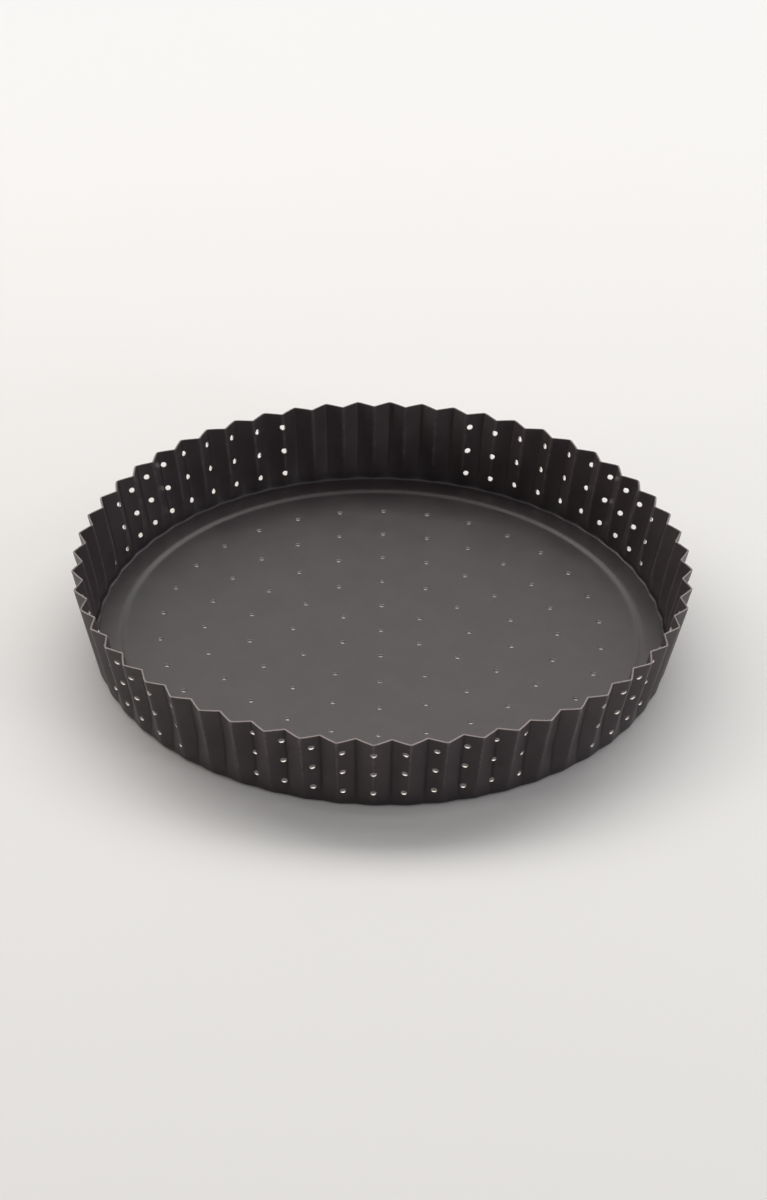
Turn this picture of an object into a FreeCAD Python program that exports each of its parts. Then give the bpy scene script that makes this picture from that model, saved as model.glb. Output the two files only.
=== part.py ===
import FreeCAD, Part
import Sketcher
import math
import os

from FreeCAD import Placement, Rotation, Vector

# Fluted quiche tin with a loose base, in millimetres.
# The origin is the middle of the underside, +Z is up and the front is -Y.
# A bearing is an angle round the axis, from the front towards +X.

doc = FreeCAD.newDocument("quiche_tin")

# Driving sizes

sizes = doc.addObject("Spreadsheet::Sheet", "sizes")

driving = {
    "sheet_thickness": 0.8,
    "tin_height": 35.0,
    "rim_radius": 125.0,
    "wall_flare": 8.4,
    "foot_scallop": 0.5,
    "flute_count": 56,
    "flute_depth": 4.0,
    "crest_flat": 1.0,
    "valley_flat": 0.6,
    "first_crest": 5.6,
    "heel_cut": 1.2,
    "ledge_width": 10.0,
    "hole_diameter": 2.2,
    "hole_sides": 8,
    "lowest_row": 7.9,
    "top_row_margin": 5.9,
    "row_count": 3,
    "columns_round": 64,
    "group_columns": 10,
    "group_gap_columns": 2,
    "group_count": 5,
    "group_bearing": 2.05,
    "base_clearance": 0.3,
    "step_slope": 35.0,
    "base_hole_margin": 16.6,
    "base_ring_count": 5,
    "base_ring_holes": 6,
}

# Sizes that follow from the driving ones
following = {
    "foot_radius": "=rim_radius - wall_flare",
    "row_spacing": "=(tin_height - lowest_row - top_row_margin) / (row_count - 1)",
    "base_hole_spacing": "=(foot_radius - ledge_width - base_hole_margin) / base_ring_count",
}

for line, (name, value) in enumerate({**driving, **following}.items(), start=1):
    sizes.set(f"A{line}", name)
    sizes.set(f"B{line}", str(value))
    sizes.setAlias(f"B{line}", name)
doc.recompute()


def size(name):
    return float(sizes.get(name))


def count(name):
    return int(round(size(name)))


# Helpers for the document's objects

def primitive(kind, name, **expressions):
    """A primitive whose properties are bound to the sheet."""
    thing = doc.addObject(kind, name)
    for prop, expression in expressions.items():
        thing.setExpression(prop.replace("_", "."), expression)
    return thing


def combined(kind, name, base, tool):
    thing = doc.addObject(kind, name)
    thing.Base = base
    thing.Tool = tool
    return thing


def holder(name, shape):
    thing = doc.addObject("Part::Feature", name)
    thing.Shape = shape
    return thing


# Outlines of the wall and of the foot at one height

def on_bearing(bearing, outward, height):
    angle = math.radians(bearing)
    return Vector(outward * math.sin(angle), -outward * math.cos(angle), height)


def meeting(point, direction, angle, beside):
    """Where a line in the plane meets the line that runs beside the ray at an angle."""
    across = Vector(-math.sin(angle), math.cos(angle), 0)
    return point + direction * ((beside - point.dot(across)) / direction.dot(across))


def flute_outline(height, inset, flat_crests):
    """Corners of the fluted outline, moved inwards by the inset.

    The wall flares evenly, and its flutes grow in step with its radius, so each flank
    is flat. The sheet is bent round sharp inner corners, so on the outside the crests
    have a narrow flat and on the inside the valleys have one.
    """
    rim = size("rim_radius")
    foot = size("foot_radius") + size("foot_scallop")
    scale = (foot + (rim - foot) * height / size("tin_height")) / rim
    flutes = count("flute_count")
    half_pitch = math.pi / flutes
    valley_radius = rim - size("flute_depth")
    crest = Vector(rim, size("crest_flat") / 2, 0) * scale
    valley = Vector(math.cos(half_pitch), math.sin(half_pitch), 0) * valley_radius * scale
    flank = (valley - crest).normalize()
    moved = crest + Vector(-flank.y, flank.x, 0) * inset
    if flat_crests:
        crest = meeting(moved, flank, 0, size("crest_flat") / 2 * scale)
        valley = meeting(moved, flank, half_pitch, 0)
    else:
        crest = meeting(moved, flank, 0, 0)
        valley = meeting(moved, flank, half_pitch, -size("valley_flat") / 2)

    pitch = 360 / flutes
    crest_turn = math.degrees(math.atan2(crest.y, crest.x))
    valley_turn = math.degrees(math.atan2(valley.y, valley.x))
    corners = []
    for number in range(flutes):
        bearing = size("first_crest") + number * pitch
        if flat_crests:
            corners.append(on_bearing(bearing - crest_turn, crest.Length, height))
        corners.append(on_bearing(bearing + crest_turn, crest.Length, height))
        corners.append(on_bearing(bearing + valley_turn, valley.Length, height))
        if not flat_crests:
            corners.append(on_bearing(bearing + pitch - valley_turn, valley.Length, height))
    return corners


def foot_outline(height, flat_radius):
    """Corners of the foot, which is flat between one crest and the next."""
    flutes = count("flute_count")
    corner_radius = flat_radius / math.cos(math.pi / flutes)
    return [
        on_bearing(size("first_crest") + number * 360 / flutes, corner_radius, height)
        for number in range(flutes)
    ]


def flat_sided(name, lower, upper):
    """A solid with a flat side between each pair of corners of two outlines."""
    faces = [Part.Face(Part.makePolygon(outline + outline[:1])) for outline in (lower, upper)]
    for number in range(len(lower)):
        side = [lower[number - 1], lower[number], upper[number], upper[number - 1]]
        faces.append(Part.Face(Part.makePolygon(side + side[:1])))
    shell = Part.makeShell(faces)
    shell.sewShape()
    return holder(name, Part.makeSolid(shell))


def heel_cone(name, bottom, flat_radius):
    """The many-sided cone at 45 degrees that cuts off the heel of the foot."""
    rise = size("tin_height")
    lower = foot_outline(bottom, flat_radius)
    upper = foot_outline(bottom + rise, flat_radius + rise)
    return flat_sided(name, lower, upper)


# Fluted ring: one pressed sheet, whose flutes fade into the foot, with a ledge under it

HEEL_INSIDE = "(sizes.heel_cut + sizes.sheet_thickness * (sqrt(2) - 1))"
CORNER_PER_FLAT = "cos(180 deg / sizes.flute_count)"


def fluted_ring():
    sheet = size("sheet_thickness")
    height = size("tin_height")
    foot_radius = size("foot_radius")
    heel_cut = size("heel_cut")

    flutes = flat_sided("outer_flutes", flute_outline(0, 0, True),
                        flute_outline(height, 0, True))
    foot = primitive("Part::Prism", "outer_foot", Polygon="sizes.flute_count",
                     Circumradius=f"sizes.foot_radius / {CORNER_PER_FLAT}",
                     Height="sizes.tin_height - 2 * sizes.sheet_thickness",
                     Placement_Rotation_Angle="(sizes.first_crest - 90) * 1 deg")
    fluted = combined("Part::Fuse", "outer_fluted_foot", flutes, foot)
    heel = heel_cone("outer_heel", 0, foot_radius - heel_cut)
    outside = combined("Part::Common", "ring_outside", fluted, heel)

    flutes = flat_sided("inner_flutes", flute_outline(sheet, sheet, False),
                        flute_outline(height + sheet, sheet, False))
    foot = primitive("Part::Prism", "inner_foot", Polygon="sizes.flute_count",
                     Circumradius="(sizes.foot_radius - sizes.sheet_thickness)"
                                  f" / {CORNER_PER_FLAT}",
                     Height="sizes.tin_height - 3 * sizes.sheet_thickness",
                     Placement_Base_z="sizes.sheet_thickness",
                     Placement_Rotation_Angle="(sizes.first_crest - 90) * 1 deg")
    fluted = combined("Part::Fuse", "inner_fluted_foot", flutes, foot)
    heel_inside = heel_cut + sheet * (math.sqrt(2) - 1)
    heel = heel_cone("inner_heel", sheet, foot_radius - heel_inside)
    inside = combined("Part::Common", "ring_inside", fluted, heel)

    opening = primitive("Part::Cylinder", "ledge_opening",
                        Radius="sizes.foot_radius - sizes.ledge_width",
                        Height="sizes.sheet_thickness * 3",
                        Placement_Base_z="-sizes.sheet_thickness")
    shell = combined("Part::Cut", "ring_shell", outside, inside)
    pressed = combined("Part::Cut", "pressed_ring", shell, opening)
    ring = combined("Part::Cut", "punched_ring", pressed, holder("wall_punches", wall_punches()))
    ring.Label = "fluted_ring"
    return ring


def punch(start, length):
    """A straight many-sided punch along -Y, the first direction of a bearing."""
    sides = count("hole_sides")
    radius = size("hole_diameter") / 2
    corners = []
    for number in range(sides + 1):
        angle = 2 * math.pi * number / sides
        corners.append(Vector(radius * math.cos(angle), -start, radius * math.sin(angle)))
    return Part.Face(Part.makePolygon(corners)).extrude(Vector(0, -length, 0))


def wall_punches():
    """Rows of punches all round, in groups of columns with a plain stretch between them."""
    start = size("foot_radius") - size("flute_depth") - 4 * size("sheet_thickness")
    wall_punch = punch(start, size("rim_radius") + size("sheet_thickness") - start)
    column_pitch = 360 / size("columns_round")
    group_pitch = column_pitch * (size("group_columns") + size("group_gap_columns"))
    punches = []
    for group in range(count("group_count")):
        group_middle = (group - (count("group_count") - 1) / 2) * group_pitch
        for column in range(count("group_columns")):
            from_middle = (column - (count("group_columns") - 1) / 2) * column_pitch
            turn = Rotation(
                Vector(0, 0, 1), size("group_bearing") + group_middle + from_middle
            )
            for row in range(count("row_count")):
                height = size("lowest_row") + row * size("row_spacing")
                copy = wall_punch.copy()
                copy.Placement = Placement(Vector(0, 0, height), turn)
                punches.append(copy)
    return Part.makeCompound(punches)


# Loose base: a disc whose flange rests on the ledge and whose middle is pressed down level

def base_section(body):
    """Half section of the disc: the middle, a sloping step and the flange."""
    sketch = body.newObject("Sketcher::SketchObject", "base_section")
    upright = next(plane for plane in body.Origin.OriginFeatures if plane.Role == "XZ_Plane")
    sketch.AttachmentSupport = [(upright, "")]
    sketch.MapMode = "FlatFace"

    sheet = size("sheet_thickness")
    slope = math.radians(size("step_slope"))
    run = sheet / math.tan(slope)
    shift = sheet * math.tan(slope / 2)
    step = size("foot_radius") - size("ledge_width") - size("base_clearance")
    edge = step + size("ledge_width") / 2
    outline = {
        "underside": Vector(0, 0, 0),
        "slope_below": Vector(step - run, 0, 0),
        "flange_below": Vector(step, sheet, 0),
        "edge": Vector(edge, sheet, 0),
        "flange_above": Vector(edge, 2 * sheet, 0),
        "slope_above": Vector(step - shift, 2 * sheet, 0),
        "topside": Vector(step - run - shift, sheet, 0),
        "axis": Vector(0, sheet, 0),
    }
    corners = list(outline.values())
    line = {name: number for number, name in enumerate(outline)}
    for number, corner in enumerate(corners):
        after = (number + 1) % len(corners)
        sketch.addGeometry(Part.LineSegment(corner, corners[after]), False)
    for number in range(len(corners)):
        after = (number + 1) % len(corners)
        sketch.addConstraint(Sketcher.Constraint("Coincident", number, 2, after, 1))
    for name in ("underside", "flange_below", "flange_above", "topside"):
        sketch.addConstraint(Sketcher.Constraint("Horizontal", line[name]))
    for name in ("edge", "axis"):
        sketch.addConstraint(Sketcher.Constraint("Vertical", line[name]))
    sketch.addConstraint(Sketcher.Constraint("Coincident", line["underside"], 1, -1, 1))
    parallel = Sketcher.Constraint("Parallel", line["slope_below"], line["slope_above"])
    sketch.addConstraint(parallel)

    def dimension(name, kind, start, end, value, expression):
        number = sketch.addConstraint(Sketcher.Constraint(kind, *start, *end, value))
        sketch.renameConstraint(number, name)
        sketch.setExpression(f"Constraints.{name}", expression)

    middle = (-1, 1)
    below_start = (line["slope_below"], 1)
    below_end = (line["slope_below"], 2)
    edge_foot = (line["edge"], 1)
    dimension("middle_thickness", "DistanceY", middle, (line["axis"], 1), sheet,
              "sizes.sheet_thickness")
    dimension("flange_thickness", "DistanceY", edge_foot, (line["edge"], 2), sheet,
              "sizes.sheet_thickness")
    dimension("step_rise", "DistanceY", below_start, below_end, sheet,
              "sizes.sheet_thickness")
    dimension("step_run", "DistanceX", below_start, below_end, run,
              "sizes.sheet_thickness / tan(sizes.step_slope * 1 deg)")
    dimension("bend_shift", "DistanceX", (line["slope_above"], 1), below_end, shift,
              "sizes.sheet_thickness * tan(sizes.step_slope * 0.5 deg)")
    dimension("step_radius", "DistanceX", middle, below_end, step,
              "sizes.foot_radius - sizes.ledge_width - sizes.base_clearance")
    dimension("edge_radius", "DistanceX", middle, edge_foot, edge,
              f"sizes.foot_radius - {HEEL_INSIDE} - sizes.base_clearance")
    return sketch


def base_punches():
    """One hole in the middle and rings of evenly spaced holes round it."""
    sheet = size("sheet_thickness")
    upright = punch(-2 * sheet, 4 * sheet)
    upright.rotate(Vector(0, 0, 0), Vector(1, 0, 0), -90)
    punches = [upright]
    for ring in range(1, count("base_ring_count") + 1):
        holes = ring * count("base_ring_holes")
        for number in range(holes):
            place = on_bearing(360 * number / holes, ring * size("base_hole_spacing"), 0)
            copy = upright.copy()
            copy.translate(place)
            punches.append(copy)
    return Part.makeCompound(punches)


def loose_base():
    body = doc.addObject("PartDesign::Body", "base_body")
    disc = body.newObject("PartDesign::Revolution", "base_disc")
    disc.Profile = base_section(body)
    disc.ReferenceAxis = (disc.Profile[0], ["V_Axis"])
    disc.Angle = 360
    base = combined("Part::Cut", "punched_base", body, holder("base_punches", base_punches()))
    base.Label = "loose_base"
    return base


# Building, checking and writing

pieces = [fluted_ring(), loose_base()]
doc.recompute()
for thing in doc.Objects:
    failed = {"Invalid", "Error"} & set(thing.State)
    if failed:
        raise RuntimeError(f"{thing.Label} did not recompute: {failed}")
for piece in pieces:
    shape = piece.Shape
    if shape.isNull() or not shape.isValid() or len(shape.Solids) != 1:
        raise RuntimeError(f"{piece.Label} is not one sound solid")
    print(piece.Label, "volume", round(shape.Volume), "faces", len(shape.Faces))

os.makedirs("parts", exist_ok=True)
for piece in pieces:
    piece.Shape.exportStep(os.path.join("parts", f"{piece.Label}.step"))
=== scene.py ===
import math

import bpy
import numpy as np
from mathutils import Matrix, Vector


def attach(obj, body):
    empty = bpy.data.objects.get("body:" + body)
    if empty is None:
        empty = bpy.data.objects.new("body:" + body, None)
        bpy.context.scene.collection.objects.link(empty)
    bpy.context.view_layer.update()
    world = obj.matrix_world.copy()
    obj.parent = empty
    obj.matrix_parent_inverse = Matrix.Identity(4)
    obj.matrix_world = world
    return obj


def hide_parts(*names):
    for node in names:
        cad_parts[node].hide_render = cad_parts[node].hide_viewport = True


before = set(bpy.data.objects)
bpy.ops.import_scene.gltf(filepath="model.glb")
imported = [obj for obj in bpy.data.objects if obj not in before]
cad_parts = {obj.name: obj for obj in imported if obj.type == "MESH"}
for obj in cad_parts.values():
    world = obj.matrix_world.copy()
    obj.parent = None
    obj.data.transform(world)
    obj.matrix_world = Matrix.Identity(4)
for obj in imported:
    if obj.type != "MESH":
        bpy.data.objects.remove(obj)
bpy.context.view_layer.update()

millimetre = 0.001
print("frame loaded:", ", ".join(sorted(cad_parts)))


# Sheet metal is a middle surface of two parameters, the bearing round the axis and the
# distance along the section, with a skin laid half a thickness off each side of it.
# A point's place is middle(bearing, along) + offset * normal, where the normal is the
# cross product of the middle surface's two slopes.

class Sheet:
    def __init__(self, middle, surfaceMarks):
        self.middle = middle
        self.surfaceMarks = surfaceMarks              # how far a place is lightened by wear and painted highlight, below 0 where painted shade or the darker foot darkens it
        self.points = []
        self.faces = []
        self.count = 0

    # Points on the arrays' common grid. Cut is 1 in a punched hole, less on a trimmed edge,
    # 0 where the coating is whole. Gives their numbers back in the same grid.
    def add(self, bearing, along, offset, cut=0.0):
        shape = np.broadcast(bearing, along, offset, cut).shape
        parts = [np.broadcast_to(part, shape).ravel() for part in (bearing, along, offset, cut)]
        self.points.append(np.stack(parts, axis=1))
        numbers = np.arange(self.count, self.count + len(parts[0])).reshape(shape)
        self.count += len(parts[0])
        return numbers

    def place(self, numbers):
        known = np.concatenate(self.points)
        return known[numbers, 0], known[numbers, 1]

    # Quads between two closed rows of the same length, last axis round
    def strip(self, lower, upper):
        corners = [lower, np.roll(lower, -1, axis=-1), np.roll(upper, -1, axis=-1), upper]
        return np.stack(corners, axis=-1).reshape(-1, 4)

    def keep(self, faces, inwards=False):
        self.faces.append(faces[:, ::-1] if inwards else faces)

    # Triangles between closed rows of different lengths that start at one bearing. Both
    # rows are walked at once: each step goes to the next point of either row in order of
    # bearing, and makes a triangle with the point last met on the other row.
    def zipped(self, inner, outer):
        innerSteps = np.arange(1, len(inner) + 1) / len(inner)
        outerSteps = np.arange(1, len(outer) + 1) / len(outer)
        onOuter = np.repeat([0, 1], [len(inner), len(outer)])
        order = np.argsort(np.concatenate([innerSteps, outerSteps]), kind="stable")
        onOuter = onOuter[order]
        outerMet = np.cumsum(onOuter) - onOuter
        innerMet = np.cumsum(1 - onOuter) - (1 - onOuter)
        a = inner[innerMet % len(inner)]
        b = outer[outerMet % len(outer)]
        nextA = inner[(innerMet + 1) % len(inner)]
        nextB = outer[(outerMet + 1) % len(outer)]
        alongInner = np.stack([a, nextA, b], axis=1)
        alongOuter = np.stack([a, nextB, b], axis=1)
        return np.where(onOuter[:, None] == 1, alongOuter, alongInner)

    def positions(self):
        bearing, along, offset, _ = np.concatenate(self.points).T
        step = 1e-4
        sideways = self.middle(bearing + step, along) - self.middle(bearing - step, along)
        upwards = self.middle(bearing, along + step) - self.middle(bearing, along - step)
        normal = np.cross(sideways, upwards)
        normal /= np.linalg.norm(normal, axis=1, keepdims=True)
        return self.middle(bearing, along) + normal * offset[:, None]

    def build(self, name, sharpAngle):
        used = np.unique(np.concatenate([faces.ravel() for faces in self.faces]))
        renumber = np.zeros(self.count, dtype=int)
        renumber[used] = np.arange(len(used))
        faces = [row for group in self.faces for row in renumber[group].tolist()]
        mesh = bpy.data.meshes.new(name)
        mesh.from_pydata(self.positions()[used] * millimetre, [], faces)
        bearing, along, offset, cut = np.concatenate(self.points)[used].T
        # The marks carry wear, a painted highlight on the crests and painted shade in the folds
        for label, values in (("cut", cut), ("wearAndSheen", self.surfaceMarks(bearing, along, offset))):
            mark = mesh.attributes.new(label, "FLOAT", "POINT")
            mark.data.foreach_set("value", values.astype(np.float32))
        mesh.shade_smooth()
        mesh.set_sharp_from_angle(angle=math.radians(sharpAngle))
        piece = bpy.data.objects.new(name, mesh)
        bpy.context.scene.collection.objects.link(piece)
        print(name, "has", sum(len(face) - 2 for face in faces), "triangles")
        return piece


# Both skins of a piece of sheet, with round holes, on one grid of lines. Each hole lies in
# a cell of the grid, cell = (rows, columns), whose first row and column are given. Rings
# join the cell's border to the hole: border + (circle - border) * share. Gives the numbers
# of the outer and the inner skin's grid.
def punchedSkins(sheet, bearings, alongs, holes, cell, style):
    rows, columns = cell
    half = style["sheet"] / 2
    bevel = style["bevel"]
    grids = []
    loops = []
    firstRow, firstColumn, holeAlong, holeBearing = holes
    inRow = firstRow[:, None, None] + np.arange(rows)[None, :, None]
    inColumn = (firstColumn[:, None, None] + np.arange(columns)[None, None, :]) % len(bearings)
    openCell = np.zeros((len(alongs) - 1, len(bearings)), dtype=bool)
    openCell[tuple(np.broadcast_arrays(inRow, inColumn))] = True

    borderRow = np.concatenate([np.zeros(columns), np.arange(rows),
                                np.full(columns, rows), np.arange(rows, 0, -1)]).astype(int)
    borderColumn = np.concatenate([np.arange(columns), np.full(rows, columns),
                                   np.arange(columns, 0, -1), np.zeros(rows)]).astype(int)
    for side in (1, -1):
        grid = sheet.add(bearings[None, :], alongs[:, None], side * half)
        quads = sheet.strip(grid[:-1], grid[1:]).reshape(len(alongs) - 1, len(bearings), 4)
        sheet.keep(quads[~openCell], side < 0)
        border = grid[firstRow[:, None] + borderRow,
                      (firstColumn[:, None] + borderColumn) % len(bearings)]
        edgeBearing, edgeAlong = sheet.place(border)
        radius = style["radiusAt"](holeAlong)[:, None]
        turn = np.angle(np.exp(1j * (edgeBearing - holeBearing[:, None])))
        across = turn * radius
        upwards = edgeAlong - holeAlong[:, None]
        reach = np.hypot(across, upwards)
        holeRadius = style["holeRadius"] + bevel
        loop = border
        for share in style["ringShares"]:
            scale = 1 + (holeRadius / reach - 1) * share
            circle = sheet.add(holeBearing[:, None] + across * scale / radius,
                               holeAlong[:, None] + upwards * scale, side * half)
            sheet.keep(sheet.strip(loop, circle), side < 0)
            loop = circle
        loops.append(loop)
        grids.append(grid)

    # The punched edge of each hole, with a small bevel at both skins
    scale = style["holeRadius"] / reach
    edges = [sheet.add(holeBearing[:, None] + across * scale / radius,
                       holeAlong[:, None] + upwards * scale, side * (half - bevel),
                       style["holeCut"])
             for side in (1, -1)]
    for lower, upper in zip([loops[0], *edges], [*edges, loops[1]]):
        sheet.keep(sheet.strip(lower, upper))
    return grids


# Closes both skins along a trimmed edge: bevel, cut face, bevel
def closeEdge(sheet, outerRow, innerRow, bearings, edgeAlong, style, atTop):
    depth = style["sheet"] / 2 - style["bevel"]
    face = [sheet.add(bearings, edgeAlong, side * depth, style["edgeCut"]) for side in (1, -1)]
    rows = [outerRow, *face, innerRow]
    for first, second in zip(rows, rows[1:]):
        sheet.keep(sheet.strip(first, second) if atTop else sheet.strip(second, first))


# Fluted ring, in millimetres and degrees

ring = {
    "rimRadius": 125.0,
    "footRadius": 116.6,
    "scallop": 0.35,            # how far the crests stand out at the foot
    "height": 35.0,
    "rimTrim": 0.1,
    "flutes": 56,
    "firstCrest": 5.6,
    "fluteDepth": 3.75,
    "leastDepth": 0.16,         # what is left of the flutes at the foot
    "crestBend": 0.45,
    "valleyBend": 0.24,
    "fadeLength": 1.3,          # how gently the flutes reach their full depth
    "sheet": 0.8,
    "bevel": 0.14,
    "edgeCut": 0.6,             # how far the coating is gone from a trimmed edge
    "holeCut": 1.0,
    "heelRadius": 2.0,
    "ledgeWidth": 10.0,
    "holeRadius": 1.1,
    "holeRows": (7.9, 18.5, 29.1),
    "columns": 64,
    "groupColumns": 10,
    "groupStep": 12,
    "groups": 5,
    "groupBearing": 2.05,
    "linesPerColumn": 18,
    "linesPulledIn": 0.6,       # how near the next lines come to each crest and valley
    "linesMoved": 4,            # how many lines each side give way to them
    "cellColumns": 6,
    "cellRows": 4,
    "cellHeight": 4.0,
    "ringShares": (0.36, 0.7, 1.0),
    "rowsOnLedge": 3,
    "rowsOnHeel": 4,
    "rowsBetween": 3,           # below each row of holes
    "rowsAtRim": 3,
    # The crests are lighter, a painted highlight along each bend with some wear
    "crestSheenAndWear": 0.85,
    "crestSheenWidth": 0.5,
    "wallMarksStart": 8.0,            # how far above the heel the painted crest highlight and fold shade are full
    "rimRub": 0.3,
    "rimRubWidth": 1.2,
    # Painted shade darkens the folds of the flutes; the wall is also darker round the foot
    "foldShadeWidth": 0.9,
    "footDarkening": 0.9,            # how much darker the wall is made round the foot
    "footDarkeningReach": 5.0,
    "sharpAngle": 38.0,
}

flare = ring["rimRadius"] - ring["footRadius"] - ring["scallop"]
tilt = math.atan2(flare, ring["height"])
heelMiddle = ring["heelRadius"] - ring["sheet"] / 2
heelTurn = math.pi / 2 - tilt
heelLength = heelMiddle * heelTurn
heelTop = ring["heelRadius"] - heelMiddle * math.cos(heelTurn)
ledgeInner = ring["footRadius"] - ring["ledgeWidth"]
ledgeLength = ring["ledgeWidth"] - ring["heelRadius"]
rimAlong = heelLength + (ring["height"] - ring["rimTrim"] - heelTop) / math.cos(tilt)


# The smaller of two numbers, rounded where they cross: (a + b - |a - b| softened) / 2
def softSmaller(a, b, softness):
    return (a + b - np.sqrt((a - b) ** 2 + softness ** 2)) / 2


# Distance round the ring from the nearest crest, at a radius
def fromCrest(bearing, radius):
    pitch = 2 * math.pi / ring["flutes"]
    phase = (bearing - math.radians(ring["firstCrest"])) / pitch
    return np.abs(phase - np.round(phase)) * pitch * radius


# Radius of the fluted wall's middle surface. The crest line is straight. From it the flank
# drops by slope * (sqrt(x^2 + c^2) - c), with x the distance from the crest and c its bend,
# less the same form mirrored at the valley. The depth is the smaller of full depth and the
# crest's reach past the foot, so the flutes fade out downwards.
def wallRadius(bearing, height):
    crestOut = ring["footRadius"] + ring["scallop"] + flare * height / ring["height"]
    fullDepth = ring["fluteDepth"] * crestOut / ring["rimRadius"]
    reach = crestOut - ring["footRadius"]
    depth = np.maximum(softSmaller(fullDepth, reach, ring["fadeLength"]), ring["leastDepth"])
    crestBend = ring["crestBend"]
    valleyBend = ring["valleyBend"]
    halfPitch = math.pi / ring["flutes"] * crestOut
    x = fromCrest(bearing, crestOut)
    slope = depth / (np.hypot(halfPitch, crestBend) - crestBend - valleyBend)
    drop = np.hypot(x, crestBend) - crestBend
    drop -= np.hypot(halfPitch - x, valleyBend) - (halfPitch - x)
    return crestOut - ring["sheet"] / 2 / math.cos(tilt) - slope * drop


# Middle surface of the ring: flat ledge, round heel, then the fluted wall. Along is 0 where
# the heel starts, negative over the ledge, and on the wall it is the heel's length plus the
# distance up the slope.
def ringMiddle(bearing, along):
    height = np.maximum(heelTop + (along - heelLength) * math.cos(tilt), heelTop)
    heelCentre = wallRadius(bearing, heelTop) - heelMiddle * math.sin(heelTurn)
    turn = np.clip(along / heelMiddle, 0, heelTurn)
    heelOut = heelCentre + heelMiddle * np.sin(turn)
    heelUp = ring["heelRadius"] - heelMiddle * np.cos(turn)
    onLedge = np.clip(-along / ledgeLength, 0, None)
    ledgeOut = heelCentre + (ledgeInner - heelCentre) * onLedge
    outward = np.where(along > heelLength, wallRadius(bearing, height),
                       np.where(along > 0, heelOut, ledgeOut))
    upward = np.where(along > heelLength, height, heelUp)
    return np.stack([outward * np.sin(bearing), -outward * np.cos(bearing), upward], axis=-1)


# Each crest's outside is lighter, a painted highlight along the bend with some wear; the last few
# millimetres below the rim are worn. Painted shade in the valleys' folds and a darker foot count
# below none.
def ringMarks(bearing, along, offset):
    toCrest = fromCrest(bearing, ring["rimRadius"])
    toValley = math.pi / ring["flutes"] * ring["rimRadius"] - toCrest
    crest = np.exp(-(toCrest / ring["crestSheenWidth"]) ** 2)
    valley = np.exp(-(toValley / ring["foldShadeWidth"]) ** 2)
    onWall = np.clip((along - heelLength) / ring["wallMarksStart"], 0, 1)
    nearRim = np.exp(-(rimAlong - along) / ring["rimRubWidth"])
    wearAndSheen, darkened = np.where(offset > 0, (crest, valley), (valley, crest))
    nearFoot = np.exp(-np.abs(along - heelLength / 2) / ring["footDarkeningReach"])
    surfaceMarks = (wearAndSheen * ring["crestSheenAndWear"] - darkened) * onWall + nearRim * ring["rimRub"]
    return surfaceMarks - nearFoot * (1 - darkened * onWall) * ring["footDarkening"]


# Even lines round the ring, moved so that one lies on every crest and valley and its
# neighbours come closer: a line n steps away goes to n * (1 - pull * e^(1 - |n|)) steps.
def ringBearings():
    lines = ring["columns"] * ring["linesPerColumn"]
    spacing = 2 * math.pi / lines
    start = math.radians(ring["groupBearing"]) + math.pi / ring["columns"]
    even = start + spacing * np.arange(lines)
    halfPitch = math.pi / ring["flutes"]
    crest = math.radians(ring["firstCrest"])
    bend = crest + np.round((even - crest) / halfPitch) * halfPitch
    steps = np.round((even - bend) / spacing)
    pulled = steps * (1 - ring["linesPulledIn"] * np.exp(1 - np.maximum(np.abs(steps), 1)))
    weight = np.clip(1 - (np.abs(steps) - 1) / ring["linesMoved"], 0, 1)
    return even + (bend + pulled * spacing - even) * weight


def wallAlong(height):
    return heelLength + (height - heelTop) / math.cos(tilt)


def makeRing():
    bearings = ringBearings()
    halfCell = ring["cellHeight"] / 2
    alongs = [np.linspace(-ledgeLength + ring["bevel"], 0, ring["rowsOnLedge"] + 1)[:-1],
              np.linspace(0, heelLength, ring["rowsOnHeel"] + 1)[:-1]]
    below = heelLength
    rowNumbers = []
    for height in ring["holeRows"]:
        bottom, top = wallAlong(height - halfCell), wallAlong(height + halfCell)
        alongs.append(np.linspace(below, bottom, ring["rowsBetween"] + 1)[:-1])
        rowNumbers.append(sum(len(part) for part in alongs))
        alongs.append(np.linspace(bottom, top, ring["cellRows"] + 1)[:-1])
        below = top
    alongs.append(np.linspace(below, rimAlong - ring["bevel"], ring["rowsAtRim"]))
    alongs = np.concatenate(alongs)

    column = np.concatenate([
        (group - (ring["groups"] - 1) / 2) * ring["groupStep"]
        + np.arange(ring["groupColumns"]) - (ring["groupColumns"] - 1) / 2
        for group in range(ring["groups"])
    ])
    row = np.repeat(np.arange(len(rowNumbers)), len(column))
    column = np.tile(column, len(rowNumbers))
    holeBearing = math.radians(ring["groupBearing"]) + column * 2 * math.pi / ring["columns"]
    centreLine = np.round((column - 0.5) * ring["linesPerColumn"]).astype(int)
    firstColumn = (centreLine - ring["cellColumns"] // 2) % len(bearings)
    holes = (np.array(rowNumbers)[row], firstColumn,
             wallAlong(np.array(ring["holeRows"])[row]), holeBearing)

    def radiusAt(along):
        height = heelTop + (along - heelLength) * math.cos(tilt)
        return wallRadius(math.radians(ring["firstCrest"]), height) - ring["fluteDepth"] / 2

    sheet = Sheet(ringMiddle, ringMarks)
    style = {**ring, "radiusAt": radiusAt}
    outer, inner = punchedSkins(sheet, bearings, alongs, holes,
                                (ring["cellRows"], ring["cellColumns"]), style)
    closeEdge(sheet, outer[-1], inner[-1], bearings, rimAlong, style, True)
    closeEdge(sheet, outer[0], inner[0], bearings, -ledgeLength, style, False)
    return sheet.build("flutedRing", ring["sharpAngle"])


# Loose base, in millimetres and degrees

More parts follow.
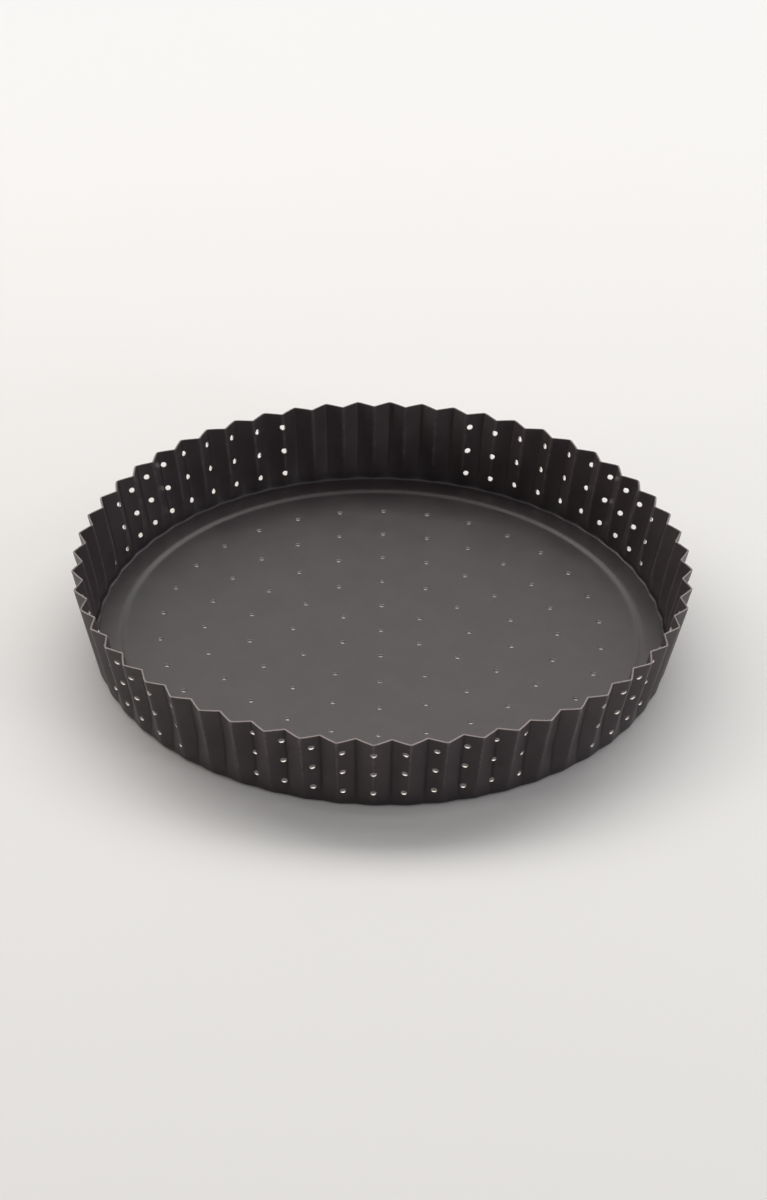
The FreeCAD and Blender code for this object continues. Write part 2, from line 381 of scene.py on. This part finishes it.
base = {
    "stepRadius": 106.3,
    "edgeRadius": 114.77,
    "stepSlope": 35.0,
    "stepSoftness": 0.7,
    "sheet": 0.8,
    "bevel": 0.12,
    "edgeCut": 0.6,
    "holeCut": 1.0,
    "holeRadius": 1.1,
    "spacing": 18.0,
    "rings": 5,
    "ringHoles": 6,
    "cell": 8,
    "seam": 1.6,                # half the band that joins two rings of holes
    "ringShares": (0.3, 0.55, 0.8, 1.0),
    "middleRows": 4,
    "stepRows": 16,
    "stepRowsReach": (-4.0, 3.0),
    "stepRub": 0.35,
    "stepRubWidth": 0.8,
    "sharpAngle": 32.0,
}


# Middle surface of the base: level, a soft step up by one sheet, level again. The step is
# a ramp clipped to 0 and 1, with both clips rounded.
def baseMiddle(bearing, along):
    run = base["sheet"] / math.tan(math.radians(base["stepSlope"]))
    soft = base["stepSoftness"]
    onRamp = along - (base["stepRadius"] - run) + soft / 4
    ramp = (np.hypot(onRamp, soft) + onRamp - np.hypot(onRamp - run, soft) - (onRamp - run)) / 2 / run
    upward = base["sheet"] / 2 + base["sheet"] * np.clip(ramp, 0, 1)
    return np.stack([along * np.sin(bearing), -along * np.cos(bearing), upward], axis=-1)


# The step's crown is rubbed a little
def baseRub(bearing, along, offset):
    return np.exp(-((along - base["stepRadius"]) / base["stepRubWidth"]) ** 2) * base["stepRub"]


def makeBase():
    sheet = Sheet(baseMiddle, baseRub)
    style = {**base, "radiusAt": lambda along: along}
    cell, seam, spacing = base["cell"], base["seam"], base["spacing"]
    half = base["sheet"] / 2

    rows = []
    firstLines = base["ringHoles"] * cell
    centre = 2 * math.pi * (np.arange(firstLines) + 0.5) / firstLines
    centreAlongs = np.linspace(base["holeRadius"] + base["bevel"], spacing / 2 - seam,
                               base["middleRows"])
    grids = [sheet.add(centre[None, :], centreAlongs[:, None], side * half) for side in (1, -1)]
    for grid, inwards in zip(grids, (False, True)):
        sheet.keep(sheet.strip(grid[:-1], grid[1:]), inwards)
    closeEdge(sheet, grids[0][0], grids[1][0], centre, base["holeRadius"],
              {**style, "edgeCut": base["holeCut"]}, False)
    rows.append((grids[0][-1], grids[1][-1]))

    for number in range(1, base["rings"] + 1):
        count = base["ringHoles"] * number
        lines = count * cell
        bearings = 2 * math.pi * np.arange(lines) / lines
        middle = number * spacing
        alongs = np.linspace(middle - spacing / 2 + seam, middle + spacing / 2 - seam, cell + 1)
        holes = (np.zeros(count, dtype=int), (np.arange(count) * cell - cell // 2) % lines,
                 np.full(count, middle), 2 * math.pi * np.arange(count) / count)
        outer, inner = punchedSkins(sheet, bearings, alongs, holes, (cell, cell), style)
        rows.append((outer[0], inner[0]))
        rows.append((outer[-1], inner[-1]))

    lines = base["ringHoles"] * base["rings"] * cell
    bearings = 2 * math.pi * np.arange(lines) / lines
    flat = np.array([(base["rings"] + 0.5) * spacing + seam])
    nearStep = base["stepRadius"] + np.linspace(*base["stepRowsReach"], base["stepRows"])
    edge = np.array([base["edgeRadius"] - base["bevel"]])
    alongs = np.concatenate([flat, nearStep, edge])
    grids = [sheet.add(bearings[None, :], alongs[:, None], side * half) for side in (1, -1)]
    for grid, inwards in zip(grids, (False, True)):
        sheet.keep(sheet.strip(grid[:-1], grid[1:]), inwards)
    closeEdge(sheet, grids[0][-1], grids[1][-1], bearings, base["edgeRadius"], style, True)
    rows.append((grids[0][0], grids[1][0]))

    for lower, upper in zip(rows[::2], rows[1::2]):
        for side, inwards in ((0, False), (1, True)):
            sheet.keep(sheet.zipped(lower[side], upper[side]), inwards)
    return sheet.build("looseBase", base["sharpAngle"])


# Shader maths: a wire is a socket whose operators add the Math nodes that work them out

class Wire:
    def __init__(self, shader, socket):
        self.shader = shader
        self.socket = socket

    def __add__(self, other):
        return self.shader.maths("ADD", self, other)

    def __sub__(self, other):
        return self.shader.maths("SUBTRACT", self, other)

    def __rsub__(self, other):
        return self.shader.maths("SUBTRACT", other, self)

    def __mul__(self, other):
        return self.shader.maths("MULTIPLY", self, other)

    __radd__ = __add__
    __rmul__ = __mul__


class Shader:
    def __init__(self, owner):      # a material or a world
        owner.use_nodes = True
        self.nodes = owner.node_tree.nodes
        self.links = owner.node_tree.links
        self.nodes.clear()

    # A node of a kind with its settings, then the values or links of its sockets
    def add(self, kind, settings=None, output=0, **sockets):
        node = self.nodes.new(kind)
        for name, value in (settings or {}).items():
            setattr(node, name, value)
        for name, value in sockets.items():
            key = int(name[1:]) if name[1:].isdigit() else name.replace("_", " ")
            if isinstance(value, Wire):
                self.links.new(value.socket, node.inputs[key])
            else:
                node.inputs[key].default_value = value
        return Wire(self, node.outputs[output])

    def maths(self, operation, a, b):
        return self.add("ShaderNodeMath", {"operation": operation}, i0=a, i1=b)

    def noise(self, where, scale, detail, roughness):
        return self.add("ShaderNodeTexNoise", Vector=where, Scale=scale, Detail=detail,
                        Roughness=roughness)

    def attribute(self, name):
        return self.add("ShaderNodeAttribute", {"attribute_name": name}, 2)

    # 0 below low, 1 above high, smooth between
    def spread(self, value, low, high):
        return self.add("ShaderNodeMapRange", {"interpolation_type": "SMOOTHSTEP"},
                        Value=value, From_Min=low, From_Max=high)

    def blend(self, share, a, b):
        return self.add("ShaderNodeMix", {"data_type": "RGBA"}, 2, Factor=share, i6=a, i7=b)

    def finish(self, kind, surface):
        self.links.new(surface.socket, self.nodes.new(kind).inputs["Surface"])


# Non-stick coating over steel. Colours are linear.

coating = {
    "colour": (0.036, 0.0275, 0.0295, 1),
    "cloudy": (0.047, 0.0365, 0.0380, 1),
    # lighter coating where worn, also a painted highlight on the crests
    "wearAndSheen": (0.085, 0.070, 0.071, 1),
    "darkened": (0.016, 0.012, 0.0135, 1),   # painted shade in the folds, and darker round the foot
    "roughness": 0.40,
    "gloss": 0.36,
    "edge": (0.17, 0.143, 0.138, 1),
    "steel": (0.44, 0.41, 0.38, 1),
    "steelRoughness": 0.42,
    "cloud": (55.0, 4.0, 0.6),      # noises, each with its scale, detail and roughness
    "grit": (420.0, 3.0, 0.6),
    "peel": (1400.0, 2.0, 0.5),
    "cloudRange": (0.35, 0.7),
    "peelHeight": 0.00002,
    "peelStrength": 0.6,
    "bareGrit": 0.3,            # how ragged the coating ends at an edge
    "bareRange": (0.3, 0.5),
    "punchedRange": (0.7, 0.9),
    "wearAndSheenGrit": 1.2,
    "wearAndSheenRange": (0.35, 1.1),
    "darkenedRange": (0.1, 0.9),
    "bareMetal": 0.35,
    "punchedMetal": 0.6,
    "cloudRoughness": 0.16,
    "peelRoughness": 0.08,
    "wearAndSheenRoughness": -0.1,
}


def coatedSteel(name):
    material = bpy.data.materials.new(name)
    shader = Shader(material)
    where = shader.add("ShaderNodeTexCoord", output=3)
    cloud = shader.noise(where, *coating["cloud"])
    grit = shader.noise(where, *coating["grit"])
    peel = shader.noise(where, *coating["peel"])
    cutShare = shader.attribute("cut")
    bare = shader.spread(cutShare + (grit - 0.5) * coating["bareGrit"], *coating["bareRange"])
    punched = shader.spread(cutShare, *coating["punchedRange"])
    # Lighter where worn and as a painted highlight on the crests; darker as painted shade in the
    # folds and round the foot
    wearAndSheen = shader.attribute("wearAndSheen")
    wearAndSheenShare = shader.spread(wearAndSheen + (grit - 0.5) * coating["wearAndSheenGrit"], *coating["wearAndSheenRange"])
    darkened = shader.spread(0 - wearAndSheen, *coating["darkenedRange"])
    cloudy = shader.spread(cloud, *coating["cloudRange"])
    colour = shader.blend(cloudy, coating["colour"], coating["cloudy"])
    colour = shader.blend(darkened, colour, coating["darkened"])
    colour = shader.blend(wearAndSheenShare, colour, coating["wearAndSheen"])
    metal = shader.blend(punched, coating["edge"], coating["steel"])
    colour = shader.blend(bare, colour, metal)
    roughness = (coating["roughness"] + (cloud - 0.5) * coating["cloudRoughness"]
                 + (peel - 0.5) * coating["peelRoughness"] + wearAndSheenShare * coating["wearAndSheenRoughness"])
    roughness = roughness * (1 - punched) + punched * coating["steelRoughness"]
    bump = shader.add("ShaderNodeBump", Height=peel, Distance=coating["peelHeight"],
                      Strength=coating["peelStrength"])
    surface = shader.add("ShaderNodeBsdfPrincipled", Base_Color=colour, Roughness=roughness,
                         Metallic=bare * coating["bareMetal"] + punched * coating["punchedMetal"],
                         Specular_IOR_Level=coating["gloss"], Normal=bump)
    shader.finish("ShaderNodeOutputMaterial", surface)
    return material


# 1 for the rays that show a surface itself, 0 for those that carry its light further
def seenDirectly(shader):
    kinds = [shader.add("ShaderNodeLightPath", output=f"Is {kind} Ray")
             for kind in ("Camera", "Glossy", "Transmission")]
    return shader.maths("MINIMUM", sum(kinds), 1.0)


# Plain floor that fades into the backdrop well outside the tin's shadow
def plainFloor():
    material = bpy.data.materials.new("paleFloor")
    shader = Shader(material)
    lit = shader.add("ShaderNodeBsdfPrincipled", Base_Color=stage["floorColour"],
                     Roughness=stage["floorRoughness"])
    backdrop = shader.add("ShaderNodeEmission", Color=stage["backdropColour"],
                          Strength=stage["backdropStrength"])
    where = shader.add("ShaderNodeTexCoord", output=3)
    away = shader.add("ShaderNodeVectorMath", {"operation": "LENGTH"}, 1, i0=where)
    share = shader.spread(away, stage["fadeStart"], stage["fadeEnd"]) * seenDirectly(shader)
    surface = shader.add("ShaderNodeMixShader", i0=share, i1=lit, i2=backdrop)
    shader.finish("ShaderNodeOutputMaterial", surface)
    return material


ringPiece = makeRing()
ringPiece.data.materials.append(coatedSteel("ringCoating"))
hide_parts("fluted_ring")
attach(ringPiece, "root")

basePiece = makeBase()
basePiece.data.materials.append(coatedSteel("baseCoating"))
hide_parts("loose_base")
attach(basePiece, "root")

# Stage, light and camera, in metres and watts

stage = {
    "floorSize": 12.0,
    "floorGap": 0.0001,         # keeps the floor clear of the tin's underside
    "floorColour": (0.90, 0.885, 0.87, 1),
    "floorRoughness": 0.7,
    "fadeStart": 0.36,
    "fadeEnd": 0.85,
    "backdropColour": (1.0, 0.99, 0.98, 1),
    "backdropStrength": 0.93,   # how bright the far floor and the world look
    "worldStrength": 0.26,      # how much the world lights
}

lamps = {
    "backWindow": {"place": (-0.05, 1.4, 1.95), "size": (4.4, 1.0), "power": 52.0,
                   "colour": (1.0, 0.99, 0.97)},
    "warmSide": {"place": (-2.0, -0.45, 0.25), "size": (0.3, 0.3), "power": 7.0,
                 "colour": (1.0, 0.93, 0.86)},
    "coolSide": {"place": (1.55, -1.0, 0.4), "size": (0.4, 0.4), "power": 6.0,
                 "colour": (0.90, 0.93, 1.0)},
    "leftWindow": {"place": (-1.6, 0.7, 1.2), "size": (0.9, 0.7), "power": 5.0,
                   "colour": (1.0, 0.97, 0.94)},
    "rightWindow": {"place": (1.8, 0.35, 1.0), "size": (0.9, 0.7), "power": 4.0,
                    "colour": (0.96, 0.97, 1.0)},
}


def makeFloor():
    half = stage["floorSize"] / 2
    level = -stage["floorGap"]
    mesh = bpy.data.meshes.new("floor")
    corners = [(-half, -half, level), (half, -half, level), (half, half, level), (-half, half, level)]
    mesh.from_pydata(corners, [], [(0, 1, 2, 3)])
    floor = bpy.data.objects.new("floor", mesh)
    bpy.context.scene.collection.objects.link(floor)
    floor.data.materials.append(plainFloor())


def makeLamp(name, lamp):
    light = bpy.data.lights.new(name, "AREA")
    light.shape = "RECTANGLE"
    light.size, light.size_y = lamp["size"]
    light.energy = lamp["power"]
    light.color = lamp["colour"]
    piece = bpy.data.objects.new(name, light)
    bpy.context.scene.collection.objects.link(piece)
    piece.location = lamp["place"]
    piece.rotation_euler = (-Vector(lamp["place"])).to_track_quat("-Z", "Y").to_euler()


def makeWorld():
    world = bpy.data.worlds.new("softLight")
    bpy.context.scene.world = world
    shader = Shader(world)
    more = stage["backdropStrength"] - stage["worldStrength"]
    surface = shader.add("ShaderNodeBackground", Color=stage["backdropColour"],
                         Strength=stage["worldStrength"] + seenDirectly(shader) * more)
    shader.finish("ShaderNodeOutputWorld", surface)


camera = {
    "lens": 99.0,
    "sensor": 36.0,
    "place": (0.00074, -1.10881, 0.76893),
    "elevation": 34.19,
    "roll": 1.19,
    "farClip": 50.0,
}


# Looks down by the elevation, with its right side raised by the roll
def makeCamera():
    down = math.radians(camera["elevation"])
    roll = math.radians(camera["roll"])
    forward = Vector((0, math.cos(down), -math.sin(down)))
    right = Vector((1, 0, 0))
    up = Vector((0, math.sin(down), math.cos(down)))
    rolledRight = right * math.cos(roll) + up * math.sin(roll)
    rolledUp = up * math.cos(roll) - right * math.sin(roll)
    turn = Matrix((rolledRight, rolledUp, -forward)).transposed()
    lens = bpy.data.cameras.new("camera")
    lens.lens = camera["lens"]
    lens.sensor_width = camera["sensor"]
    lens.clip_end = camera["farClip"]
    eye = bpy.data.objects.new("camera", lens)
    bpy.context.scene.collection.objects.link(eye)
    eye.matrix_world = Matrix.Translation(camera["place"]) @ turn.to_4x4()
    bpy.context.scene.camera = eye


makeFloor()
makeWorld()
for lampName, lampSettings in lamps.items():
    makeLamp(lampName, lampSettings)
makeCamera()
bpy.context.scene.view_settings.view_transform = "Standard"
print("stage ready")
